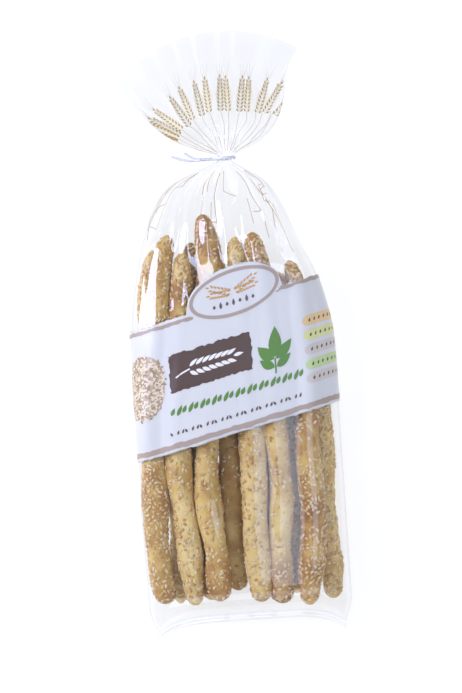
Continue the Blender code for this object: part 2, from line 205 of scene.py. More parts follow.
# Print on the band. Places on it are (p, q): p runs round the band to the right from the bag's middle line,
# and q up from the band's own slanting line through the origin.
PRINT_LIFT = 0.15
SECOND_PRINT_LIFT = 0.22  # what is printed over other print
PRINT_STEP = 1.3
LABEL_MIDDLE_Y = 35
LOW_STRIPE = (1.7, 5.0)  # from the band's low edge
HIGH_STRIPE = (1.6, 3.8)  # from its high edge
BADGE_RING = (1.8, 4.0)  # from the badge's edge
BADGE_Q = BADGE_Y - BAND_SLOPE * BADGE_X
SEED_PATCH_PLACE, SEED_PATCH_HALF_SIZE = (-58, 37), (14, 20)
SEED_PATCH_SEEDS = 620
PATCH_PLACE, PATCH_HALF_SIZE = (-14.6, 40.9), (26, 11.6)
SPRIG_PLACE = (25.5, 28)
LEAF_ROW_Q, LEAF_ROW_RANGE = 17.6, (-41, 42)
DASH_ROW_Q, DASH_ROW_RANGE = 4.2, (-41, 41)
PILL_QS = (48.3, 39.2, 30.2, 21, 12.4)
PILL_START, PILL_LENGTH, PILL_HALF_HEIGHT = 44.5, 34, 3.15

# Print on the film: ears of wheat round the mouth, and their stems through the neck and over the shoulder
EARS = 19
EAR_BASE_RADIUS, EAR_PRINT_LENGTH = 28, 23.5
RIGHT_BASE_SHIFT = 10  # the rightmost ears start this much further out
UPRIGHT_SHARE = 0.6  # ears in the fan's middle lean this much less than straight out from the neck
EAR_PAIRS, EAR_GRAIN = 9, (2.6, 0.95)
EAR_OPENING = 0.65  # from an ear's middle line to the roots of its grains, in widths of a grain
EAR_BODY_WIDTH = 5.6
AWNS, AWN_LENGTH = 9, 11
AWN_HALF_WIDTHS = (0.15, 0.05)
STEM_WIDTH = 0.42
FILM_PRINT_LIFT = 0.09
STEM_END_RANGE = (114, 138)  # y at which the stems end over the shoulder
STEM_START = 157
STEM_PIECE_RANGE = (8, 17)
STEM_DRIFT = 0.09  # a piece's step round the bag, in radians, and a kink's and a break's
STEM_JUMP_RANGE = (0.1, 0.26)
STEM_BREAK_STEP = 0.2
STEM_JUMP_CHANCE, STEM_BREAK_CHANCE = 0.35, 0.45

# Twist tie, as in the part
TIE_HALF_WIDTH = 0.85
TIE_HALF_THICKNESS = 0.35
TIE_THIN_HALF_THICKNESS = 0.13  # beside its wire
TIE_WIRE_HALF_WIDTH = 0.42
TIE_SIDES = 20
TIE_RADIUS = 6.0
TIE_LOOP_OPENING_DEG = 26
TIE_TWIST_GAP = 2.5
TIE_HELIX_RADIUS = 0.7
TIE_TWIST_LENGTH = 8
TIE_TURNS = 1.25
TIE_TAILS = (18, 9.5)
TIE_SPREAD_DEG = (13, 24)
TIE_TAIL_DROP = 0.1

# Studio
WALL_RADIANCE, CEILING_RADIANCE = 0.64, 0.1
FLOOR_GLOW = 0.765  # the floor is a light table's
VEIL_LIGHT = (0.76, 0.93, 1.35)
GLARE_LIGHT = (0.93, 0.95, 1.08)
SKY_LIGHT = (0.02, 0.12, 1.0)
MIDDLE_PLACE = (0, 0, 0)  # where softboxes are aimed, in metres
TIPS_PLACE = (0, 0.1, 0)
FEET_PLACE = (0, -0.1, 0)
FLOOR_RADIUS, FLOOR_SIDES = 4, 64
FLOOR_CLEARANCE = 0.05  # the floor lies this far below the bag, so that the two don't flicker


# Curves and noise


def smooth(low, high, value):
    """0 at low, 1 at high, level past them, and an even S-curve between them."""
    share = np.clip((value - low) / (high - low), 0, 1)
    return share * share * (3 - 2 * share)


def mix(first, second, share):
    return first + (second - first) * share


def along(profile, place):
    """Values at places on a smooth curve through a profile's (place, value) pairs, level past its ends."""
    places, values = np.array(profile, float).T
    numbers = np.arange(len(places))
    before, after = np.maximum(numbers - 1, 0), np.minimum(numbers + 1, len(places) - 1)
    slopes = (values[after] - values[before]) / (places[after] - places[before])
    i = np.clip(np.searchsorted(places, place, side="right") - 1, 0, len(places) - 2)
    span = places[i + 1] - places[i]
    t = np.clip((place - places[i]) / span, 0, 1)
    start = values[i] * (1 + 2 * t) * (1 - t) ** 2 + slopes[i] * span * t * (1 - t) ** 2
    end = values[i + 1] * t * t * (3 - 2 * t) + slopes[i + 1] * span * t * t * (t - 1)
    return start + end


def noise(points, size, seed, sharp=False):
    """Seeded noise from -1 to 1, with features of this size, smooth or with sharp folds between them."""
    cells = 32
    lattice = np.random.default_rng(seed).uniform(-1, 1, (cells, cells, cells))
    place = np.asarray(points) / size
    cell = np.floor(place).astype(int)
    t = place - cell
    if not sharp:
        t = t * t * (3 - 2 * t)
    total = 0
    for corner in itertools.product((0, 1), repeat=3):
        weight = np.prod(np.where(corner, t, 1 - t), axis=-1)
        total = total + weight * lattice[tuple(np.moveaxis((cell + corner) % cells, -1, 0))]
    return total


def vectors(*parts):
    """Points from their x, y and z, or plane places from two of them, whatever shapes these have."""
    return np.stack(np.broadcast_arrays(*parts), axis=-1).astype(float)


def unit(directions):
    return directions / np.maximum(np.linalg.norm(directions, axis=-1, keepdims=True), 1e-9)


def turns(count):
    """Even angles all the way round."""
    return 2 * math.pi * np.arange(count) / count


# The sticks and the film's surface, as in the part


class Stick:
    """One grissino: a gently snaking rod along y that lies straight on what is below it."""

    def __init__(self, row, bake, number, below=()):
        foot_x, low_x, high_x, tip_x, self.foot_y, self.tip_y, self.radius = row
        ys = (self.foot_y, BELOW_BAND_Y, ABOVE_BAND_Y, self.tip_y)
        self.route = list(zip(ys, (foot_x, low_x, high_x, tip_x)))
        self.browning, self.sowing = bake
        self.number = number
        self.phase = 1.7 * number
        self.heights = [self.resting_height(y, below) for y in SUPPORT_PLACES]

    def x(self, y):
        return along(self.route, y) + BEND_DEPTH * np.sin(2 * math.pi * y / BEND_LENGTH + self.phase)

    def z(self, y):
        near, far = SUPPORT_PLACES
        return mix(*self.heights, (y - near) / (far - near))

    def to_end(self, y):
        return np.minimum(y - self.foot_y, self.tip_y - y)

    def radius_at(self, y):
        """Radius at y, tapered and rounded off at both ends, and 0 past them."""
        to_foot, to_tip = y - self.foot_y, self.tip_y - y
        bulge = 1 + BULGE_SHARE * np.sin(2 * math.pi * y / BULGE_LENGTH + 2 * self.phase)
        taper = (1 - TIP_TAPER * smooth(TIP_TAPER_LENGTH, 0, to_tip)) * (
            1 - FOOT_TAPER * smooth(FOOT_TAPER_LENGTH, 0, to_foot))
        into_end = np.clip(np.maximum(1 - to_foot / FOOT_ROUNDING, 1 - to_tip / TIP_ROUNDING), 0, 1)
        return self.radius * bulge * taper * np.sqrt(1 - into_end ** 2)

    def resting_height(self, y, below):
        """Height of the centre where this stick lies on the film or on the sticks below it."""
        heights = [FILM_FLOOR + FILM_GAP + self.radius]
        for other in below:
            across = self.x(y) - other.x(y)
            reach = self.radius + other.radius + STICK_CLEARANCE
            if abs(across) < reach:
                heights.append(other.z(y) + math.sqrt(reach ** 2 - across ** 2))
        return max(heights)

    def noise(self, angle, y, size, seed):
        """Noise on the stick's crust, which no other stick shares."""
        x, z = self.radius * np.cos(angle), self.radius * np.sin(angle)
        return noise(vectors(x, y + NOISE_APART * self.number, z), size, seed)

    def relief(self, angle, y):
        """Height of the crust over the smooth stick: lumps, bumps, grain and the seam of the rolled dough."""
        height = LUMP_DEPTH * self.noise(angle, y, LUMP_SIZE, 1)
        height += BUMP_DEPTH * self.noise(angle, y, BUMP_SIZE, 2)
        height += GRAIN_DEPTH * self.noise(angle, y, GRAIN_SIZE, 3)
        wander = 0.5 * self.noise(angle, y, 30, 4)
        turn = angle - 2 * math.pi * y / CREASE_PITCH - 2.1 * self.phase + wander
        across_seam = ((turn + math.pi) % (2 * math.pi) - math.pi) * self.radius / CREASE_WIDTH
        seam = np.exp(-across_seam ** 2) * smooth(-0.2, 0.5, self.noise(angle, y, 40, 5))
        return np.minimum(height - CREASE_DEPTH * seam - CRUST_MEAN_DROP, CRUST_HIGHEST)

    def crust_point(self, angle, y, lift=0):
        """Point of the crust at y, with the angle from 0 at the right over the top, lifted off it."""
        smooth_radius = self.radius_at(y)
        radius = smooth_radius + self.relief(angle, y) * smooth_radius / self.radius + lift
        return vectors(self.x(y) + radius * np.cos(angle), y, self.z(y) + radius * np.sin(angle))


def stick_row(rows, bakes, below=()):
    """The sticks of one row, numbered on from those below it."""
    return [Stick(row, bake, n + len(below), below) for n, (row, bake) in enumerate(zip(rows, bakes))]


lower_sticks = stick_row(LOWER_ROW, LOWER_BAKES)
sticks = lower_sticks + stick_row(UPPER_ROW, UPPER_BAKES, lower_sticks)


def clearance(x, y, z):
    """Distance in the section at y from a point to the film's nearest seat on a stick."""
    nearest = np.full(np.broadcast(x, y, z).shape, 2 * SAG_LIMIT)
    for stick in sticks:
        distance = np.hypot(x - stick.x(y), z - stick.z(y)) - stick.radius_at(y) - FILM_GAP
        distance = np.where(stick.to_end(y) > 0, distance, FAR)
        blend = np.clip(1 - abs(distance - nearest) / SAG_ROUNDING, 0, None)
        nearest = np.minimum(nearest, distance) - blend ** 2 * SAG_ROUNDING / 4
    return nearest


def band_edges(x):
    """y of the band's low and high edge at x, without the badge."""
    return BAND_LOW_EDGE + BAND_SLOPE * x, BAND_HIGH_EDGE + BAND_SLOPE * x


def under_band(x, y):
    """1 where the band bridges the dips between the sticks, fading to 0 outside it."""
    low, high = band_edges(x)
    inside, outside = BAND_FADE
    return smooth(low - outside, low + inside, y) * smooth(high + outside, high - inside, y)


def draped(x, y, z, middle_x, half_width, middle_z, upward):
    """Points of the taut bag moved inwards until the film meets a stick or reaches its deepest dip."""
    reach = np.maximum(half_width - SIDE_WIDTH, 0)
    inner_x = middle_x + np.clip(x - middle_x, -reach, reach)
    inwards = vectors(inner_x - x, 0, middle_z - z)
    past_sticks = np.maximum(smooth(*TIPS_RANGE, y), smooth(*FEET_RANGE, y))
    limit = mix(SAG_LIMIT, SAG_PAST_STICKS, past_sticks) * smooth(*NECK_SAG_RANGE, y)
    limit = limit * mix(SIDE_SAG_SHARE, 1, smooth(0, SIDE_REACH, upward))
    depth = np.minimum(clearance(x, y, z), limit)
    depth = np.where(depth > 0, depth * mix(1, BAND_TAUTNESS, under_band(x, y)), depth)
    return vectors(x, y, z) + unit(inwards) * depth[..., None]


def pleat_depth(y):
    loose = PLEAT_DEPTH * smooth(*PLEAT_RANGE, y)
    return mix(loose, NECK_PLEAT_DEPTH, smooth(NECK_PLEAT_START, NECK_START, y))


def pleat_wave(angle):
    """Wave of the pleats round the neck, from -1 to 1, at uneven places and of uneven depth."""
    wander = FOLD_WANDER * (np.sin(3 * angle + 1) + np.sin(5 * angle + 2.6) + np.sin(8 * angle + 0.5))
    depth = 0.75 + 0.25 * np.sin(4 * angle + 0.7)
    return depth * np.cos(PLEATS * angle + wander)


def full_section(angle, y):
    """x and z of the taut bag's section at y, before it is draped. The angle runs from 0 at the right edge
    over the top to pi at the left edge, and back underneath."""
    narrowing = smooth(*NARROWING, y)
    middle_z = mix(MIDDLE_HEIGHT, NECK_HEIGHT, narrowing)
    cosine = np.cos(angle)
    on_top = np.sin(angle) >= 0
    power = mix(np.where(on_top, TOP_SQUARENESS, LOW_SQUARENESS), 2, narrowing)
    top_reach = along(TOP_HEIGHTS, y) - middle_z
    low_reach = (along(LOW_HEIGHTS, y) - middle_z) * mix(LOW_OVERREACH, 1, narrowing)
    bulge = (1 - np.minimum(1, abs(cosine)) ** power) ** (1 / power)
    x = along(CENTRE_LINE, y) + along(HALF_WIDTHS, y) * cosine
    return x, middle_z + np.where(on_top, top_reach, low_reach) * bulge


def taut_point(angle, y):
    """Point of the draped film between the bottom end and the neck, without pleats."""
    x, z = full_section(angle, y)
    middle_z = mix(MIDDLE_HEIGHT, NECK_HEIGHT, smooth(*NARROWING, y))
    return draped(x, y, z, along(CENTRE_LINE, y), along(HALF_WIDTHS, y), middle_z, np.sin(angle))


def creases(points, seed):
    """Seeded ridges from 0 to 1 that run mostly along the bag, as film creases do."""
    wander = CREASE_WANDER * vectors(*[noise(points, 28, seed + n) for n in range(3)])
    ridge = 1 - abs(noise(points + wander, CREASE_SPACING, seed + 3)) / 0.6
    return np.clip(ridge, 0, 1) ** 2


def body_point(angle, y, lift=0):
    """Point of the film between the bottom end and the neck, with its pleats and creases."""
    point = taut_point(angle, y)
    outwards = vectors(np.cos(angle), 0, np.sin(angle))
    looseness = np.maximum(smooth(*LOOSENING, y) * smooth(*TIGHTENING, y), smooth(*END_LOOSENING, y))
    crease = mix(TAUT_CREASE, LOOSE_CREASE, looseness) * creases(point, 20)
    leaning = vectors(point[..., 0] + FACET_LEAN * point[..., 1], point[..., 1], point[..., 2])
    crease = crease + FACET_DEPTH * (0.5 + 0.5 * noise(leaning, FACET_SPACING, 27, sharp=True))
    crease = crease * mix(UNDERSIDE_CREASE, 1, smooth(-0.1, 0.3, np.sin(angle)))
    crease = crease * (1 - under_band(point[..., 0], y)) * smooth(*NECK_CREASE_RANGE, y)
    height = pleat_depth(y) * pleat_wave(angle) + crease + lift
    point = point + outwards * height[..., None]
    point[..., 2] = np.maximum(point[..., 2], np.where(y < NECK_START, along(LOW_HEIGHTS, y), 0))
    return point


def end_point(angle, share):
    """Point of the bottom end: share 0 is the body's last full section, and 1 the start of the seal."""
    cosine, upward = np.cos(angle), np.sin(angle)
    ear = EAR_LENGTH * abs(cosine) ** EAR_SHARPNESS
    y = mix(END_START, SEAL_START - ear, share)
    full = body_point(angle, np.maximum(y, SEAL_START))
    closing = (1 - share ** END_ROUNDNESS) ** (1 / END_ROUNDNESS)
    half_thickness = SEAL_THICKNESS / 2 * np.minimum(1, abs(upward) / SEAL_BEVEL)
    wave = SEAL_WAVE * noise(vectors(full[..., 0], y, 0), SEAL_WAVE_SPACING, 31) * smooth(0.5, 1, share)
    flat_z = SEAL_HEIGHT + np.copysign(half_thickness, upward) + wave
    narrow = mix(1, SEAL_HALF_WIDTH / HALF_WIDTHS[0][1], smooth(0.5, 1, share))
    return vectors(full[..., 0] * narrow, y, mix(flat_z, full[..., 2], closing))


def seal_point(angle, share):
    """Point of the flat seal: share 0 is its start and 1 the bag's bottom edge."""
    return end_point(angle, 1) + vectors(0, share * (SEAL_EDGE - SEAL_START), 0)


def fan_limits(share):
    """Lean of the fan's left and right edge from the bag's axis, in degrees."""
    left = -FAN_LEFT_DEG - FAN_LEFT_FLARE_DEG * smooth(*FAN_LEFT_FLARE_RANGE, share)
    right = FAN_RIGHT_DEG + FAN_RIGHT_FLARE_DEG * smooth(*FAN_RIGHT_FLARE_RANGE, share)
    return left, right


def fan_point(angle, share, lift=0):
    """Point of the fan: share 0 is the neck and 1 the rim of the mouth."""
    across, upward = (np.cos(angle) + 1) / 2, np.sin(angle)
    left, right = fan_limits(share)
    lean = np.radians(mix(left, right, across))
    out = FAN_RADIUS * share
    neck = body_point(angle, NECK_END)
    ripple = np.sin(2 * math.pi * FAN_RIPPLES * across + FAN_RIPPLE_PHASE) * np.sin(math.pi * across)
    ripple = FAN_RIPPLE_DEPTH * ripple
    middle = mix(NECK_HEIGHT, FAN_RIM_HEIGHT, share) + ripple * smooth(*FAN_RIPPLE_RANGE, share)
    thickness = mix(FAN_HALF_THICKNESS, FAN_RIM_HALF_THICKNESS, smooth(*FAN_THINNING, share))
    side = np.copysign(np.minimum(1, 5 * abs(upward)), upward)
    fold = mix(NECK_PLEAT_DEPTH, FAN_CREASE, smooth(0, 0.3, share)) * pleat_wave(angle) * side
    spread_z = middle + thickness * upward + fold + lift * side
    z = mix(neck[..., 2] + lift * upward, spread_z, smooth(0, FAN_SPREAD_SHARE, share))
    return vectors(neck[..., 0] + out * np.sin(lean), NECK_END + out * np.cos(lean), z)


# Meshes


def grid_faces(rows, columns, closed=False, first=0):
    """Outward faces between neighbouring rows of points. Closed joins the last column to the first."""
    row = np.arange(rows - 1)[:, None] * columns
    column = np.arange(columns if closed else columns - 1)
    after = (column + 1) % columns
    corners = [row + column, row + columns + column, row + columns + after, row + after]
    return first + np.stack(np.broadcast_arrays(*corners), axis=-1).reshape(-1, 4)


def new_piece(name, points, faces, material, slot, **values):
    """A smooth mesh object of points in millimetres, with a value for each point under each given name."""
    mesh = bpy.data.meshes.new(name)
    mesh.from_pydata((points.reshape(-1, 3) * MM).tolist(), [], [list(map(int, face)) for face in faces])
    mesh.materials.append(material)
    for key, amounts in values.items():
        layer = mesh.attributes.new(key, "FLOAT", "POINT")
        layer.data.foreach_set("value", np.ascontiguousarray(amounts, dtype=np.float32).ravel())
    mesh.shade_smooth()
    piece = bpy.data.objects.new(name, mesh)
    bpy.context.scene.collection.objects.link(piece)
    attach(piece, "root")
    return piece


def join_grids(grids):
    """Points, or places, and faces of several grids of them as one mesh."""
    points = np.concatenate([grid.reshape(-1, grid.shape[-1]) for grid in grids])
    starts = np.cumsum([0] + [grid.shape[0] * grid.shape[1] for grid in grids])
    faces = [grid_faces(grid.shape[0], grid.shape[1], first=start) for grid, start in zip(grids, starts)]
    return points, np.concatenate(faces)


# Materials


def paint(red, green, blue):
    """Linear colour of a screen colour given from 0 to 255."""
    shares = np.array([red, green, blue]) / 255
    linear = np.where(shares <= 0.04045, shares / 12.92, ((shares + 0.055) / 1.055) ** 2.4)
    return (*map(float, linear), 1.0)


class Shading:
    """Builds the nodes of a material or of the world."""

    def __init__(self, owner):
        owner.use_nodes = True
        self.tree = owner.node_tree
        self.tree.nodes.clear()

    def add(self, kind, inputs=None, **settings):
        node = self.tree.nodes.new(kind)
        for key, value in settings.items():
            setattr(node, key, value)
        for key, value in (inputs or {}).items():
            if isinstance(value, bpy.types.NodeSocket):
                self.tree.links.new(value, node.inputs[key])
            else:
                node.inputs[key].default_value = value
        return node

    def math(self, how, *values):
        return self.add("ShaderNodeMath", dict(enumerate(values)), operation=how).outputs[0]

    def spread(self, value, low, high):
        """The value's range from 0 to 1 stretched to run from low to high."""
        inputs = {"Value": value, "To Min": low, "To Max": high}
        return self.add("ShaderNodeMapRange", inputs).outputs["Result"]


class Finish(Shading):
    """Builds one material's nodes."""

    def __init__(self, name):
        self.material = bpy.data.materials.new(name)
        super().__init__(self.material)
        self.place = self.add("ShaderNodeTexCoord").outputs["Object"]

    def noise(self, size, detail=4, roughness=0.55):
        """Noise from 0 to 1 with features of this size in millimetres."""
        inputs = {"Vector": self.place, "Scale": 1 / (size * MM), "Detail": detail, "Roughness": roughness}
        return self.add("ShaderNodeTexNoise", inputs).outputs["Fac"]

    def value(self, name):
        return self.add("ShaderNodeAttribute", attribute_name=name).outputs["Fac"]

    def ramp(self, value, *stops):
        node = self.add("ShaderNodeValToRGB", {"Fac": value})
        elements = node.color_ramp.elements
        while len(elements) < len(stops):
            elements.new(1)
        for element, (place, colour) in zip(elements, stops):
            element.position, element.color = place, colour
        return node.outputs["Color"]

    def mix(self, share, first, second, how="MIX"):
        inputs = {0: share, 6: first, 7: second}
        return self.add("ShaderNodeMix", inputs, data_type="RGBA", blend_type=how).outputs[2]

    def bump(self, height, depth, strength=1.0):
        inputs = {"Height": height, "Distance": depth * MM, "Strength": strength}
        return self.add("ShaderNodeBump", inputs).outputs["Normal"]

    def principled(self, **inputs):
        named = {key.replace("_", " "): value for key, value in inputs.items()}
        return self.add("ShaderNodeBsdfPrincipled", named).outputs["BSDF"]

    def clear(self, tint=(1, 1, 1, 1)):
        return self.add("ShaderNodeBsdfTransparent", {"Color": tint}).outputs["BSDF"]

    def blend(self, share, first, second):
        return self.add("ShaderNodeMixShader", {0: share, 1: first, 2: second}).outputs[0]

    def finish(self, shader):
        self.add("ShaderNodeOutputMaterial", {"Surface": shader})
        return self.material

    def surface(self, **inputs):
        """The finished material of one opaque principled surface."""
        return self.finish(self.principled(**inputs))


def crust_finish():
    """Baked crust: straw to golden brown, darker on what stands out, with a floury bloom and fine pores."""
    f = Finish("baked_crust")
    mottle = f.spread(f.noise(7, 5, 0.6), -0.22, 0.22)
    speckle = f.spread(f.noise(1.1, 3, 0.7), -0.16, 0.16)
    # the stored browning also carries painted shade on the sticks' lower flanks, and painted light on one
    # shaded stick
    bake = f.math("ADD", f.math("ADD", f.value("browning"), mottle), speckle)
    colour = f.ramp(
        bake,
        (0.05, paint(230, 204, 138)),
        (0.35, paint(213, 178, 101)),
        (0.6, paint(177, 130, 64)),
        (0.95, paint(112, 69, 32)),
    )
    bloom = f.ramp(f.noise(16, 4), (0.55, (0, 0, 0, 1)), (0.75, (0.35, 0.35, 0.35, 1)))
    colour = f.mix(bloom, colour, paint(216, 190, 132))
    pores = f.math("ADD", f.noise(0.5, 3), f.math("MULTIPLY", f.noise(1.6, 4), 1.5))
    return f.surface(
        Base_Color=colour, Roughness=f.spread(f.noise(5), 0.5, 0.75), Normal=f.bump(pores, 0.14, 0.9),
    )


def seed_finish(name, light, dark):
    """Sesame seed: its own shade between two colours, smooth and faintly mottled."""
    f = Finish(name)
    colour = f.mix(f.value("shade"), light, dark)
    mottled = f.mix(f.spread(f.noise(0.9, 2), 0, 0.35), colour, paint(190, 150, 100))
    return f.surface(
        Base_Color=mottled, Roughness=f.spread(f.noise(2), 0.35, 0.5), Normal=f.bump(f.noise(0.4), 0.03),
    )


def film_finish():
    """Clear film: a thin sheet that reflects more at a glance, with a trace of haze and fine crinkles. The
    fan is crumpled too finely to mirror anything sharply."""
    f = Finish("clear_film")
    crinkle = f.bump(f.noise(14, 2), 0.3, 0.2)
    facing = f.add("ShaderNodeLayerWeight", {"Blend": 0.5, "Normal": crinkle}).outputs["Facing"]
    glance = f.spread(f.math("POWER", facing, 4.0), 0.08, 1.0)
    across, along_it = (0.986, 0.988, 0.992, 1), (0.80, 0.81, 0.85, 1)  # what light keeps on its way through
    tint = f.ramp(f.math("POWER", facing, 3.0), (0.0, across), (1.0, along_it))
    crumpling = f.value("crumpling")
    glance = f.math("MULTIPLY", glance, f.spread(crumpling, 1.0, 0.32))
    tint = f.mix(f.math("MULTIPLY", crumpling, 0.5), tint, (0.9, 0.898, 0.893, 1))
    roughness = f.spread(crumpling, 0.03, 0.25)
    gloss = f.principled(Base_Color=(1, 1, 1, 1), Metallic=1.0, Roughness=roughness, Normal=crinkle)
    haze = f.add("ShaderNodeBsdfDiffuse", {"Color": (0.9, 0.9, 0.95, 1)}).outputs["BSDF"]
    return f.finish(f.blend(0.01, f.blend(glance, f.clear(tint), gloss), haze))


def ink_finish(name, colour, cover):
    """Ink on clear film, which lets some of what is behind it through."""
    f = Finish(name)
    return f.finish(f.blend(cover, f.clear(), f.principled(Base_Color=colour, Roughness=0.3)))


def paper_finish(name, colour, roughness=0.38):
    """Printed film or paper: an even coat with a little mottle, and the faint crinkle of thin sheet."""
    f = Finish(name)
    mottled = f.mix(f.spread(f.noise(2.5, 4, 0.7), 0, 0.12), colour, (*[0.7 * c for c in colour[:3]], 1))
    crinkle = f.math("ADD", f.noise(14, 2), f.math("MULTIPLY", f.noise(1.2, 3), 0.05))
    return f.surface(
        Base_Color=mottled, Roughness=f.spread(f.noise(6), roughness - 0.06, roughness + 0.08),
        Normal=f.bump(crinkle, 0.6, 0.5),
    )


def tie_finish():
    """Plastic-coated ribbon: pale, slightly waxy and finely ribbed across."""
    f = Finish("pale_tie")
    colour = f.mix(f.spread(f.noise(3), 0, 0.5), paint(218, 217, 222), paint(198, 200, 213))
    return f.surface(
        Base_Color=colour, Roughness=f.spread(f.noise(2), 0.25, 0.4), Normal=f.bump(f.noise(0.7), 0.05),
    )


# Breadsticks and seeds


def make_grissini():
    """One uneven crust for each stick, with its browning and painted shade stored at each point."""
    material = crust_finish()
    angle = turns(CRUST_COLUMNS)
    into_end = 1 - np.cos(np.linspace(0.12, 1, CRUST_END_ROWS) * math.pi / 2)
    for stick in sticks:
        length = stick.tip_y - stick.foot_y
        foot, tip = FOOT_ROUNDING * into_end, length - TIP_ROUNDING * into_end[::-1]
        middle = np.linspace(foot[-1], tip[0], round((tip[0] - foot[-1]) / CRUST_ROW_STEP))[1:-1]
        y = stick.foot_y + np.concatenate([foot, middle, tip])[:, None]
        points = stick.crust_point(angle, y)
        ends = [[stick.x(end), end, stick.z(end)] for end in (stick.foot_y + 0.05, stick.tip_y - 0.05)]
        browning = browning_at(stick, angle, y)
        browning_of_all = np.concatenate([browning.ravel(), [browning[0].mean(), browning[-1].mean()]])
        count = points.shape[0] * CRUST_COLUMNS
        faces = list(grid_faces(len(y), CRUST_COLUMNS, closed=True))
        for n in range(CRUST_COLUMNS):
            after = (n + 1) % CRUST_COLUMNS
            faces.append((count, n, after))
            faces.append((count + 1, count - CRUST_COLUMNS + after, count - CRUST_COLUMNS + n))
        new_piece(
            f"grissino_{stick.number + 1:02d}", np.concatenate([points.reshape(-1, 3), ends]), faces,
            material, "film_over_grissini", browning=browning_of_all,
        )


def browning_at(stick, angle, y):
    """How brown the crust is: more on what stands out and at the ends, with painted shade darkening its lower
    flanks.
    """
    raised = stick.relief(angle, y) + CRUST_MEAN_DROP
    ends = smooth(16, 1, stick.to_end(y))
    browning = stick.browning + 0.24 * stick.noise(angle, y, 24, 6) + 0.12 * stick.noise(angle, y, 8, 7)
    # the last term is painted shade: the crust is darkened where it turns downwards
    return browning + 0.24 * raised + 0.16 * ends + 0.3 * smooth(0.45, -0.5, np.sin(angle))


def seed_shape():
    """Points and faces of one seed of length 1 along x, pointed at one end and flat."""
    sides, rings = 5, (0.12, 0.5, 0.86)
    points = [(-0.5, 0, 0)]
    for t in rings:
        half_width = 0.6 * t ** 0.5 * (1 - t) ** 0.4
        for turn in turns(sides):
            points.append((t - 0.5, half_width * math.cos(turn), 0.5 * half_width * math.sin(turn)))
    points.append((0.5, 0, 0))
    faces = []
    for n in range(sides):
        after = (n + 1) % sides
        faces.append((0, 1 + after, 1 + n))
        for ring in range(len(rings) - 1):
            a, b = 1 + ring * sides + n, 1 + ring * sides + after
            faces.append((a, b, b + sides, a + sides))
        last = 1 + (len(rings) - 1) * sides
        faces.append((last + n, last + after, len(points) - 1))
    return np.array(points), faces


def sown(stick, rng):
    """Seeded places (angle, y) of a stick's seeds, spaced apart and in uneven drifts."""
    length = stick.tip_y - stick.foot_y - 4
    around = 2 * math.pi * stick.radius
    wanted = int(length * around * SEEDS_PER_AREA * stick.sowing)
    tries = rng.uniform((0, stick.foot_y + 2), (2 * math.pi, stick.tip_y - 2), (6 * wanted, 2))
    likely = 0.55 + 0.6 * stick.noise(*tries.T, 22, 8) + 0.25 * smooth(40, 0, stick.to_end(tries[:, 1]))
    tries = tries[rng.uniform(0, 1, len(tries)) < likely]
    kept = np.empty((0, 2))
    for angle, y in tries:
        turn = abs(kept[:, 0] - angle)
        apart = np.hypot(np.minimum(turn, 2 * math.pi - turn) * stick.radius, kept[:, 1] - y)
        if not (apart < SEED_SPACING).any():
            kept = np.vstack([kept, (angle, y)])
        if len(kept) == wanted:
            break
    return kept.T


def free_of_others(stick, points):
    """Which points aren't inside or right against another stick."""
    free = np.ones(len(points), bool)
    for other in sticks:
        if other is not stick:
            x, y, z = points.T
            apart = np.hypot(x - other.x(y), z - other.z(y)) - other.radius_at(y)
            free &= (apart > 0.15) | (other.to_end(y) <= 0)
    return free


def make_seeds():
    """Every sesame seed as a mesh at its true size, lying on the crust: pale ones and toasted ones."""
    rng = np.random.default_rng(11)
    shape, shape_faces = seed_shape()
    seeds, shades = [], []
    for stick in sticks:
        angle, y = sown(stick, rng)
        centre = stick.crust_point(angle, y, SEED_LIFT)
        free = free_of_others(stick, stick.crust_point(angle, y, 2 * SEED_LIFT + 0.3))
        angle, y, centre = angle[free], y[free], centre[free]
        step = 0.6
        forward = unit(stick.crust_point(angle, y + step) - stick.crust_point(angle, y - step))
        around = unit(stick.crust_point(angle + 0.06, y) - stick.crust_point(angle - 0.06, y))
        out = unit(np.cross(forward, around))
        turn = rng.uniform(0, 2 * math.pi, len(y))[:, None]
        pitch = rng.normal(0, 0.13, len(y))[:, None]
        long_way = unit(forward * np.cos(turn) + around * np.sin(turn) + out * pitch)
        wide_way = unit(np.cross(out, long_way))
        high_way = np.cross(long_way, wide_way)
        size = SEED_LENGTH * rng.uniform(0.85, 1.1, len(y))[:, None, None]
        ways = shape[:, 0, None] * long_way[:, None] + shape[:, 1, None] * wide_way[:, None]
        ways = ways + shape[:, 2, None] * high_way[:, None]
        seeds.append(centre[:, None] + size * ways)
        shades.append(rng.uniform(0, 1, len(y)))
    seeds, shades = np.concatenate(seeds), np.concatenate(shades)
    pale = rng.uniform(0, 1, len(seeds)) < PALE_SHARE
    kinds = [
        ("sesame_pale", pale, seed_finish("pale_sesame", paint(238, 220, 182), paint(220, 192, 140))),
        ("sesame_toasted", ~pale, seed_finish("toasted_sesame", paint(220, 184, 124), paint(184, 136, 78))),
    ]
    for name, chosen, material in kinds:
        points = seeds[chosen]
        starts = np.arange(len(points)) * len(shape)
        faces = [[start + corner for corner in face] for start in starts for face in shape_faces]
        shade = np.repeat(shades[chosen], len(shape))
        new_piece(name, points, faces, material, "film_over_grissini", shade=shade)


# Film


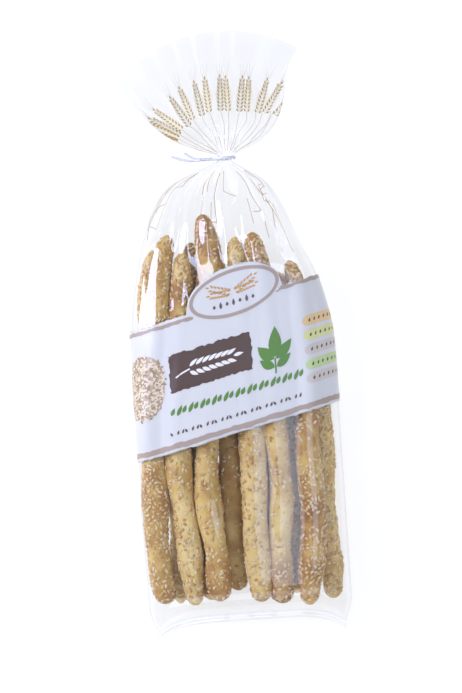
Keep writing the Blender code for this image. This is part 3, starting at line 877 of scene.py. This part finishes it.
def make_film():
    """The bag as one sheet of film from its bottom seal to the open rim of the fan."""
    angle = turns(FILM_COLUMNS)
    body_rows = round((NECK_START - END_START) / FILM_ROW_STEP)
    seal = seal_point(angle, np.array([[1.0], [0.5]]))
    end = end_point(angle, np.linspace(1, 0, FILM_END_ROWS)[:-1, None] ** 0.7)
    body = body_point(angle, np.linspace(END_START, NECK_START, body_rows)[:, None])
    neck = body_point(angle, np.array([[mix(NECK_START, NECK_MIDDLE, 0.5)], [NECK_MIDDLE]]))
    fan_shares = np.linspace(0, 1, FILM_FAN_ROWS)[:, None]
    points = np.concatenate([seal, end, body, neck, fan_point(angle, fan_shares)])
    crumpling = np.zeros(points.shape[:2])
    crumpling[-FILM_FAN_ROWS:] = smooth(*FAN_CRUMPLING_RANGE, fan_shares)
    faces = list(grid_faces(len(points), FILM_COLUMNS, closed=True))
    half = FILM_COLUMNS // 2
    for n in range(half):
        corners = [n, n + 1, (FILM_COLUMNS - n - 1) % FILM_COLUMNS, (FILM_COLUMNS - n) % FILM_COLUMNS]
        faces.append(list(dict.fromkeys(corners)))
    piece = new_piece("bag_film", points, faces, film_finish(), "film_over_grissini", crumpling=crumpling)
    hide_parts("bag")


# Band and its print


def badge_top(x):
    """y of the badge's upper edge at x, far below the band beside it."""
    from_middle = (x - BADGE_X) / BADGE_HALF_LENGTH
    rise = BADGE_HALF_HEIGHT * np.sqrt(np.clip(1 - from_middle ** 2, 0, 1))
    return np.where(abs(from_middle) < 1, BADGE_Y + BAND_SLOPE * (x - BADGE_X) + rise, -FAR)


def edge_wear(angle, seed):
    """How far a torn-looking printed edge strays at this angle round the bag."""
    ring = vectors(60 * np.cos(angle), 60 * np.sin(angle), 0)
    return BAND_EDGE_WEAR * (noise(ring, 2.6, seed) + 0.6 * noise(ring, 7, seed + 1))


def band_span(angle):
    """y where the lines at these angles on the film enter and leave the band."""
    low = high = np.zeros_like(angle)
    for _ in range(4):
        low = band_edges(taut_point(angle, low)[..., 0])[0]
        high = band_edges(taut_point(angle, high)[..., 0])[1]
    badge = badge_top(taut_point(angle, high)[..., 0])
    high = np.where(np.sin(angle) > 0, np.maximum(high, badge), high)
    return low + edge_wear(angle, 41), high + edge_wear(angle, 43)


def band_point(angle, y, offset):
    """Point of the band: on the film at this angle and y, lifted off it by the offset."""
    step, turn = 0.5, math.radians(1)
    around = taut_point(angle + turn, y) - taut_point(angle - turn, y)
    forward = taut_point(angle, y + step) - taut_point(angle, y - step)
    point = taut_point(angle, y) + unit(np.cross(forward, around)) * offset
    point[..., 2] = np.maximum(point[..., 2], FILM_FLOOR - offset)
    return point


def make_band():
    angle = turns(BAND_COLUMNS)
    low, high = band_span(angle)
    share = np.linspace(0, 1, BAND_ROWS)[:, None]
    y = mix(low, high, share)
    outside = band_point(angle, y, BAND_GAP + BAND_THICKNESS)
    inside = band_point(angle, y[::-1], BAND_GAP)
    points = np.concatenate([outside, inside, outside[:1]])
    faces = grid_faces(len(points), BAND_COLUMNS, closed=True)
    last_row = (len(points) - 1) * BAND_COLUMNS
    faces = np.where(faces >= last_row, faces - last_row, faces)
    paper = paper_finish("band_paper", paint(210, 209, 211))
    piece = new_piece("printed_band", points[:-1], faces, paper, "printed_paper")
    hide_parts("label_band")


def runs_round_band():
    """Angles from the band's top over its right edge to its underside, and how far round it each is."""
    angles = np.linspace(math.pi / 2, -math.pi / 2, 700)
    x, z = full_section(angles, LABEL_MIDDLE_Y)
    return angles, np.concatenate([[0], np.cumsum(np.hypot(np.diff(x), np.diff(z)))])


RUN_ANGLES, RUNS = runs_round_band()


def on_band(places, lift):
    """Points of the band's face at places (p, q), lifted off it."""
    p, q = places[..., 0], places[..., 1]
    y = q
    for _ in range(3):
        size = along(HALF_WIDTHS, y) / along(HALF_WIDTHS, LABEL_MIDDLE_Y)
        angle = np.interp(abs(p) / size, RUNS, RUN_ANGLES)
        angle = np.where(p >= 0, angle, math.pi - angle)
        y = q + BAND_SLOPE * full_section(angle, y)[0]
    return band_point(angle, y, BAND_GAP + BAND_THICKNESS + lift)


def heading(turn):
    """Direction that leans to the right of straight up by a turn in degrees."""
    return np.array([math.sin(math.radians(turn)), math.cos(math.radians(turn))])


def stroke(route, half_widths, columns=3):
    """Grid of a printed strip along a route of places, with a half width at each of them."""
    route = np.asarray(route, float)
    forward = unit(np.gradient(route, axis=0))
    left = vectors(-forward[:, 1], forward[:, 0])
    reach = np.broadcast_to(half_widths, len(route))[:, None] * np.linspace(-1, 1, columns)
    return route[:, None] + left[:, None] * reach[..., None]


def lens(place, turn, length, width, bend=0.0):
    """Grid of a leaf or grain that starts at a place, is pointed at both ends and bends off its turn."""
    t = np.linspace(0, 1, 8)
    route = np.array(place) + np.outer(t * length, heading(turn))
    route = route + np.outer(bend * length * t ** 2, heading(turn + 90))
    return stroke(route, width / 2 * np.sin(math.pi * t ** 0.8))


def field(place, half_size, wear=0.0, seed=0, roundness=None):
    """Grid of a filled field round a place, its edges straight, rough or, given a power, superelliptic."""
    columns, rows = [math.ceil(2 * half / PRINT_STEP) + 1 for half in half_size]
    u, v = np.meshgrid(np.linspace(1, -1, columns), np.linspace(-1, 1, rows))
    if roundness:
        u = u * (1 - abs(v) ** roundness) ** (1 / roundness)
    p, q = place[0] + half_size[0] * u, place[1] + half_size[1] * v
    p_edge = wear * noise(vectors(50 * np.sign(u), q, 0), 1.7, seed) * abs(u) ** 6
    q_edge = wear * noise(vectors(p, 50 * np.sign(v), 0), 1.7, seed + 1) * abs(v) ** 6
    return vectors(p + p_edge, q + q_edge)


def ear(place, turn, length, pairs, grain_length, grain_width):
    """Grids of an ear of wheat that starts at a place: paired grains up its stalk and one at the tip."""
    up = heading(turn)
    pitch = (length - grain_length) / pairs
    grids = []
    for n in range(pairs):
        for side in (-1, 1):
            root = place + up * pitch * n + heading(turn + 90 * side) * EAR_OPENING * grain_width
            grain_turn = turn + side * mix(38, 26, n / pairs)
            grids.append(lens(root, grain_turn, grain_length, grain_width, -0.08 * side))
    grids.append(lens(place + up * pitch * pairs, turn, grain_length, grain_width))
    return grids


def pill(place, length, half_height):
    """Grid of a bar with round ends that starts at a place."""
    round_end = np.linspace(0, 1, 6) ** 2 * half_height
    along_it = np.concatenate([round_end, np.arange(half_height + 1, length, PRINT_STEP)])
    to_end = np.clip(1 - np.minimum(along_it, length - along_it) / half_height, 0, 1)
    return stroke(vectors(place[0] + along_it, place[1]), half_height * np.sqrt(1 - to_end ** 2), 6)


def make_print(name, colour, grids, lift=PRINT_LIFT):
    """One colour of the band's print."""
    places, faces = join_grids(grids)
    new_piece(name, on_band(places, lift), faces, paper_finish(name, colour), "printed_paper")


def make_stripes(colour):
    """The two rough-edged stripes along the band's edges, the upper one cut off where the badge is."""
    angle = turns(BAND_COLUMNS)
    low, high = band_edges(taut_point(angle, LABEL_MIDDLE_Y)[..., 0])
    stripes = [(low, *LOW_STRIPE), (high, -HIGH_STRIPE[1], -HIGH_STRIPE[0])]
    grids = []
    for number, (edge, near, far) in enumerate(stripes):
        first = edge + near + edge_wear(angle, 51 + 4 * number)
        last = edge + far + edge_wear(angle, 53 + 4 * number)
        y = mix(first, last, np.linspace(0, 1, 4)[:, None])
        grids.append(band_point(angle, y, BAND_GAP + BAND_THICKNESS + PRINT_LIFT))
    points = np.concatenate([grid.reshape(-1, 3) for grid in grids])
    faces = grid_faces(4, BAND_COLUMNS, closed=True)
    faces = np.concatenate([faces, faces + 4 * BAND_COLUMNS])
    middles = points[faces].mean(axis=1)
    sheared_y = middles[:, 1] - BADGE_Y - BAND_SLOPE * (middles[:, 0] - BADGE_X)
    in_badge = np.hypot((middles[:, 0] - BADGE_X) / BADGE_HALF_LENGTH, sheared_y / BADGE_HALF_HEIGHT) < 1
    in_badge &= middles[:, 2] > MIDDLE_HEIGHT
    ink = paper_finish("stripe_ink", colour)
    new_piece("printed_stripes", points, faces[~in_badge], ink, "printed_paper")


def badge_place(turn, inset):
    """Place inside the badge's edge by an inset, at a turn in radians from its right end."""
    x = BADGE_X + (BADGE_HALF_LENGTH - inset) * np.cos(turn)
    q = BADGE_Q + (BADGE_HALF_HEIGHT - inset) * np.sin(turn)
    y = q + BAND_SLOPE * x
    size = along(HALF_WIDTHS, y) / along(HALF_WIDTHS, LABEL_MIDDLE_Y)
    from_middle = x - along(CENTRE_LINE, y)
    widths = full_section(RUN_ANGLES, LABEL_MIDDLE_Y)[0] - along(CENTRE_LINE, LABEL_MIDDLE_Y)
    right_half = RUN_ANGLES >= 0
    run = size * np.interp(abs(from_middle) / size, widths[right_half], RUNS[right_half])
    return vectors(np.copysign(run, from_middle), q)


def make_badge_print(taupe, gold, dark):
    """The badge's ring, with a small sheaf of wheat over a row of dark lozenges."""
    turn = np.linspace(0, 2 * math.pi, 121)[:, None]
    make_print("badge_ring", taupe, [badge_place(turn, mix(*BADGE_RING, np.linspace(0, 1, 4)))])
    middle = np.array([BADGE_X, BADGE_Q])
    sheaf = []
    for lean, length in ((-64, 17), (-84, 15), (64, 17), (84, 15)):
        sheaf += ear(middle + (0.024 * lean, 0.5), lean, length, 6, 2.9, 1.15)
    make_print("badge_sheaf", gold, sheaf)
    row = []
    for n in range(-3, 4):
        foot, length = (-7.1, 2.6) if n % 2 else (-8.0, 4.4)
        row.append(lens(middle + (4.1 * n, foot), 0, length, 1.8))
    make_print("badge_lozenges", dark, row)


def make_label_prints():
    """Fields of colour and simple shapes in place of the pack's own print."""
    taupe, dark = paint(168, 150, 139), paint(98, 84, 78)
    green, light_green = paint(92, 134, 58), paint(190, 208, 150)
    make_stripes(taupe)
    make_badge_print(taupe, paint(198, 150, 84), dark)
    rng = np.random.default_rng(5)

    make_print("brown_patch", paint(86, 66, 56), [field(PATCH_PLACE, PATCH_HALF_SIZE, 1.0, 61)])
    left, middle_q = PATCH_PLACE[0] - PATCH_HALF_SIZE[0], PATCH_PLACE[1]
    sprig = ear(np.array([left + 13, middle_q]), 90, 34, 7, 6.4, 2.3)
    sprig.append(stroke([(left + 4, middle_q - 3), (left + 8, middle_q - 1.2), (left + 13, middle_q)], 0.5))
    make_print("white_sprig", paint(232, 228, 226), sprig, SECOND_PRINT_LIFT)

    x, q = SPRIG_PLACE
    leaves = [lens((x, q + 4), 4, 19, 8)]
    leaves += [lens((x - 0.6, q + 3), -52, 14, 7, 0.15), lens((x + 0.6, q + 3), 56, 14, 7, -0.15)]
    leaves += [lens((x - 0.6, q - 2), -62, 11, 5.5, 0.15), lens((x + 0.6, q - 2), 66, 11, 5.5, -0.15)]
    leaves.append(stroke([(x, q - 6), (x, q - 1), (x, q + 3.5)], 0.45))
    make_print("green_leaves", green, leaves)

    first, last = LEAF_ROW_RANGE
    row = [
        lens((p, LEAF_ROW_Q - (3.2 if n % 2 else 2.2)), 28, 6.8 if n % 2 else 4.8, 2.6)
        for n, p in enumerate(np.arange(first, last, 3.7))
    ]
    make_print("green_leaf_row", green, row)
    first, last = DASH_ROW_RANGE
    row = [
        lens((p, DASH_ROW_Q - 1.4), 20 if n % 3 else -30, 2.9, 1.4)
        for n, p in enumerate(np.arange(first, last, 3.1))
    ]
    make_print("dark_seed_row", dark, row)

    make_print("seed_patch", paint(186, 166, 142), [field(SEED_PATCH_PLACE, SEED_PATCH_HALF_SIZE, 0, 0, 2.2)])
    spots = rng.uniform(-1, 1, (3 * SEED_PATCH_SEEDS, 2))
    spots = spots[np.hypot(*spots.T) < 1.02][:SEED_PATCH_SEEDS]
    spots = np.array(SEED_PATCH_PLACE) + spots * SEED_PATCH_HALF_SIZE
    grids = [lens(spot, rng.uniform(0, 360), 2.3, 1.1) for spot in spots]
    make_print("patch_toasted_seeds", paint(158, 130, 100), grids[1::2], PRINT_LIFT + 0.05)
    make_print("patch_seeds", paint(222, 208, 188), grids[::2], SECOND_PRINT_LIFT + 0.02)

    pale = paint(204, 194, 188)
    pills = [paint(224, 192, 142), paint(214, 214, 150), pale, light_green, pale]
    for n, (q, colour) in enumerate(zip(PILL_QS, pills)):
        make_print(f"pill_{n + 1}", colour, [pill((PILL_START, q), PILL_LENGTH, PILL_HALF_HEIGHT)])
    marks = [lens((PILL_START + 4 + 3.6 * k, q - 1.2), 15, 2.6, 1.3) for q in PILL_QS for k in range(6)]
    make_print("pill_marks", dark, marks, SECOND_PRINT_LIFT)


# Print on the film


def on_fan(places, side, lift):
    """Points of the fan's film at places (x, y): on its upper sheet, or on its lower one for side -1."""
    x, y = places[..., 0], places[..., 1]
    cosine = np.zeros_like(x)
    for _ in range(5):
        from_neck = x - along(CENTRE_LINE, NECK_END) - along(HALF_WIDTHS, NECK_END) * cosine
        share = np.hypot(from_neck, y - NECK_END) / FAN_RADIUS
        left, right = fan_limits(share)
        lean = np.degrees(np.arctan2(from_neck, y - NECK_END))
        cosine = np.clip(2 * (lean - left) / (right - left) - 1, -0.995, 0.995)
    return fan_point(side * np.arccos(cosine), share, lift)


def ribbon(surface, angle, place, step):
    """Grid of a thin line of ink on a film surface, through angles and places; step is a short way along."""
    points = surface(angle, place)
    around = surface(angle + 0.01, place) - surface(angle - 0.01, place)
    forward = surface(angle, place + step) - surface(angle, place - step)
    outwards = unit(np.cross(forward, around))
    left = unit(np.cross(outwards, np.gradient(points, axis=0))) * STEM_WIDTH / 2
    return np.stack([points - left, points + left], axis=1)


def shoulder_stems(angle, rng):
    """Grids of one stem's kinked pieces over the shoulder, as the film's folds leave them to be seen."""
    end, y = rng.uniform(*STEM_END_RANGE), STEM_START
    lines, line = [], [(angle, y)]
    while y > end:
        y -= rng.uniform(*STEM_PIECE_RANGE)
        angle += rng.uniform(-STEM_DRIFT, STEM_DRIFT)
        line.append((angle, y))
        if rng.uniform() < STEM_JUMP_CHANCE:
            angle += rng.choice((-1, 1)) * rng.uniform(*STEM_JUMP_RANGE)
            y += rng.uniform(-4, 2)
            line.append((angle, y))
        if rng.uniform() < STEM_BREAK_CHANCE:
            lines.append(line)
            angle += rng.uniform(-STEM_BREAK_STEP, STEM_BREAK_STEP)
            y -= rng.uniform(1, 5)
            line = [(angle, y)]
    grids = []
    for line in lines + [line]:
        if len(line) > 1:
            knots = np.arange(len(line))
            fine = np.linspace(0, len(line) - 1, 7 * (len(line) - 1) + 1)
            angles, places = [np.interp(fine, knots, values) for values in np.array(line).T]
            grids.append(ribbon(film_print_point, angles, places, 0.3))
    return grids


def film_print_point(angle, y):
    return body_point(angle, y, FILM_PRINT_LIFT)


def fan_print_point(angle, share):
    return fan_point(angle, share, FILM_PRINT_LIFT)


def make_film_prints():
    """Ears of wheat at even angles round the mouth, with faint awns and long thin stems."""
    rng = np.random.default_rng(9)
    ears, bodies, awns, stems, drawn_in = [], [], [], [], []
    for n in range(EARS):
        angle = 2 * math.pi * (n + 0.3) / EARS
        if angle > math.pi:
            angle -= 2 * math.pi
        side = 1 if angle > 0 else -1
        neck, base = fan_point(angle, np.array([0, EAR_BASE_RADIUS / FAN_RADIUS]))[:, :2]
        lean = math.degrees(math.atan2(*(base - neck)))
        base_radius = EAR_BASE_RADIUS + RIGHT_BASE_SHIFT * smooth(25, 58, lean) + rng.uniform(-1, 1)
        base = neck + heading(lean) * base_radius
        turn = lean * mix(1 - UPRIGHT_SHARE, 1, smooth(25, 60, abs(lean))) + rng.uniform(-4, 4)
        lift = side * (FILM_PRINT_LIFT + 0.02 * (n % 3))
        grains = ear(base, turn, EAR_PRINT_LENGTH, EAR_PAIRS, *EAR_GRAIN)
        ears += [on_fan(grain, side, lift) for grain in grains]
        body = lens(base - heading(turn) * 0.5, turn, EAR_PRINT_LENGTH, EAR_BODY_WIDTH)
        bodies.append(on_fan(body, side, lift - side * 0.04))
        for k in range(AWNS):
            root = base + heading(turn) * EAR_PRINT_LENGTH * (0.5 + 0.05 * k)
            tip = root + heading(turn + 5 * (k % 3 - 1) * (1 + k / 4)) * AWN_LENGTH
            awns.append(on_fan(stroke([root, tip], AWN_HALF_WIDTHS, 2), side, lift))
        shares = np.linspace(base_radius / FAN_RADIUS, 0.02, 14)
        sway = 0.05 * np.sin(np.linspace(0, math.pi * rng.uniform(1, 3), 14)) * rng.uniform(-1, 1)
        drawn_in.append(ribbon(fan_print_point, angle + sway, shares, 0.004))
        if n % 3:
            stems += shoulder_stems(angle, rng)
    stem_colour = paint(176, 134, 66)
    kinds = [
        ("printed_ears", ears, ink_finish("ear_ink", paint(166, 132, 56), 0.88)),
        ("printed_ear_bodies", bodies, ink_finish("ear_body_ink", paint(226, 208, 160), 0.35)),
        ("printed_awns", awns, ink_finish("awn_ink", paint(196, 170, 134), 0.35)),
        ("printed_stems", drawn_in, ink_finish("printed_stems", stem_colour, 0.5)),
        ("printed_stem_ends", stems, ink_finish("printed_stem_ends", stem_colour, 0.75)),
    ]
    for name, grids, material in kinds:
        new_piece(name, *join_grids(grids), material, "film_over_grissini")


# Twist tie


def tie_end(side):
    """Centre points and outward directions of the tie's end 0 or 1, from the neck to its tip."""
    middle_x = float(along(CENTRE_LINE, NECK_MIDDLE))
    start = np.array([middle_x - TIE_RADIUS - TIE_TWIST_GAP, NECK_MIDDLE, NECK_HEIGHT])
    first_turn = math.pi / 2 if side == 0 else -math.pi / 2
    stations = []
    for share in np.linspace(0, 1, 30):
        turn = first_turn + 2 * math.pi * TIE_TURNS * share
        out = np.array([0, math.cos(turn), math.sin(turn)])
        stations.append((start - (TIE_TWIST_LENGTH * share, 0, 0) + out * TIE_HELIX_RADIUS, out))
    last, out = stations[-1]
    lean = math.radians(TIE_SPREAD_DEG[side])
    level = np.array([0, 0, math.copysign(1, out[2])])
    for share in np.linspace(0, 1, 25)[1:]:
        run = TIE_TAILS[side] * share
        place = last + (-run, run * math.tan(lean) * share, -TIE_TAIL_DROP * run)
        stations.append((place, unit(mix(out, level, smooth(0, 0.6, share)))))
    return stations


def make_tie():
    """A flat ribbon with a wire down its middle, round the neck and twisted together at the left."""
    centre = np.array([float(along(CENTRE_LINE, NECK_MIDDLE)), NECK_MIDDLE, NECK_HEIGHT])
    opening = math.radians(TIE_LOOP_OPENING_DEG)
    loop = []
    for turn in np.linspace(math.pi - opening, opening - math.pi, 72):
        out = np.array([math.cos(turn), 0, math.sin(turn)])
        loop.append((centre + out * TIE_RADIUS, out))
    stations = list(reversed(tie_end(0))) + loop + tie_end(1)
    places = np.array([place for place, _ in stations])
    outs = np.array([out for _, out in stations])
    forward = np.gradient(places, axis=0)
    sideways = unit(np.cross(forward, outs))
    upright = unit(np.cross(sideways, forward))
    turn = 2 * math.pi * (np.arange(TIE_SIDES) + 0.5) / TIE_SIDES
    across = np.cos(turn)
    wire = np.exp(-(across * TIE_HALF_WIDTH / TIE_WIRE_HALF_WIDTH) ** 2)
    half_thickness = mix(TIE_THIN_HALF_THICKNESS, TIE_HALF_THICKNESS, wire)
    thick = half_thickness * np.sin(np.arccos(np.abs(across) ** 3)) * np.sign(np.sin(turn))
    rings = places[:, None] + sideways[:, None] * (across * TIE_HALF_WIDTH)[:, None]
    rings = rings + upright[:, None] * thick[:, None]
    first_end = list(range(TIE_SIDES))
    last_end = [corner + (len(rings) - 1) * TIE_SIDES for corner in first_end]
    faces = [*grid_faces(len(rings), TIE_SIDES, closed=True), first_end, last_end]
    piece = new_piece("ribbon_tie", rings, faces, tie_finish(), "pale_plastic")
    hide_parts("twist_tie")


# Stage


def make_floor():
    f = Finish("studio_floor")
    colour = f.mix(f.spread(f.noise(120, 3), 0, 0.3), (0.29, 0.29, 0.29, 1), (0.31, 0.31, 0.31, 1))
    material = f.surface(
        Base_Color=colour, Roughness=0.9, Emission_Color=(1, 1, 1, 1), Emission_Strength=FLOOR_GLOW,
    )
    mesh = bpy.data.meshes.new("studio_floor")
    turn = turns(FLOOR_SIDES)
    rim = vectors(FLOOR_RADIUS * np.cos(turn), FLOOR_RADIUS * np.sin(turn), -FLOOR_CLEARANCE * MM)
    mesh.from_pydata(rim.tolist(), [], [list(range(FLOOR_SIDES))])
    mesh.materials.append(material)
    floor = bpy.data.objects.new("studio_floor", mesh)
    bpy.context.scene.collection.objects.link(floor)


def make_softbox(name, place, aim, size, radiance, colour, only_mirrored=False):
    """A rectangular softbox at place, facing aim, its size across and along, and its brightness and colour.
    One that is only mirrored shows in gloss and lights nothing else."""
    light = bpy.data.lights.new(name, "AREA")
    light.shape = "RECTANGLE"
    light.size, light.size_y = size
    light.energy = radiance * size[0] * size[1] * math.pi
    light.color = colour
    softbox = bpy.data.objects.new(name, light)
    softbox.location = place
    softbox.visible_diffuse = not only_mirrored
    direction = np.array(place) - np.array(aim)
    back = unit(direction)
    right = unit(np.cross((0, 1, 0), back))
    up = np.cross(back, right)
    softbox.rotation_euler = Matrix(np.array([right, up, back]).T.tolist()).to_euler()
    bpy.context.scene.collection.objects.link(softbox)


def make_world():
    """A studio that is bright round its walls and dim overhead, where the camera is."""
    world = bpy.data.worlds.new("studio")
    bpy.context.scene.world = world
    shading = Shading(world)
    direction = shading.add("ShaderNodeTexCoord").outputs["Generated"]
    upwards = shading.add("ShaderNodeSeparateXYZ", {0: direction}).outputs["Z"]
    strength = shading.spread(shading.math("POWER", upwards, 2), WALL_RADIANCE, CEILING_RADIANCE)
    background = {"Color": (0.97, 0.98, 1.0, 1), "Strength": strength}
    light = shading.add("ShaderNodeBackground", background).outputs["Background"]
    shading.add("ShaderNodeOutputWorld", {"Surface": light})


def make_stage():
    make_floor()
    make_softbox("softbox_right", (0.58, 0, 1.6), MIDDLE_PLACE, (1.05, 1.2), 1.5, VEIL_LIGHT)
    make_softbox("softbox_left", (-0.97, 0.42, 0.66), TIPS_PLACE, (1.0, 0.6), 7.0, GLARE_LIGHT)
    make_softbox("sky_left", (-0.98, 0.42, 0.67), TIPS_PLACE, (1.0, 0.6), 4.0, SKY_LIGHT, only_mirrored=True)
    make_softbox("softbox_back", (-0.14, 0.5, 1.5), TIPS_PLACE, (0.15, 0.76), 6.0, VEIL_LIGHT)
    make_softbox("softbox_far_right", (0.92, 0.36, 0.8), TIPS_PLACE, (0.45, 0.5), 1.8, GLARE_LIGHT)
    make_softbox("softbox_front", (0, -0.95, 0.9), FEET_PLACE, (1.6, 0.5), 1.2, GLARE_LIGHT)
    make_world()
    camera = bpy.data.cameras.new("camera")
    camera.lens = 100
    camera.clip_end = 20
    view = bpy.data.objects.new("camera", camera)
    view.location = (-0.00085, 0.0465, 1.230)
    view.rotation_euler = (0, 0, math.radians(-4))
    bpy.context.scene.collection.objects.link(view)
    bpy.context.scene.camera = view
    bpy.context.scene.view_settings.view_transform = "Standard"
    bpy.context.scene.cycles.transparent_max_bounces = 40


make_grissini()
make_seeds()
make_film()
make_band()
make_label_prints()
make_film_prints()
make_tie()
make_stage()
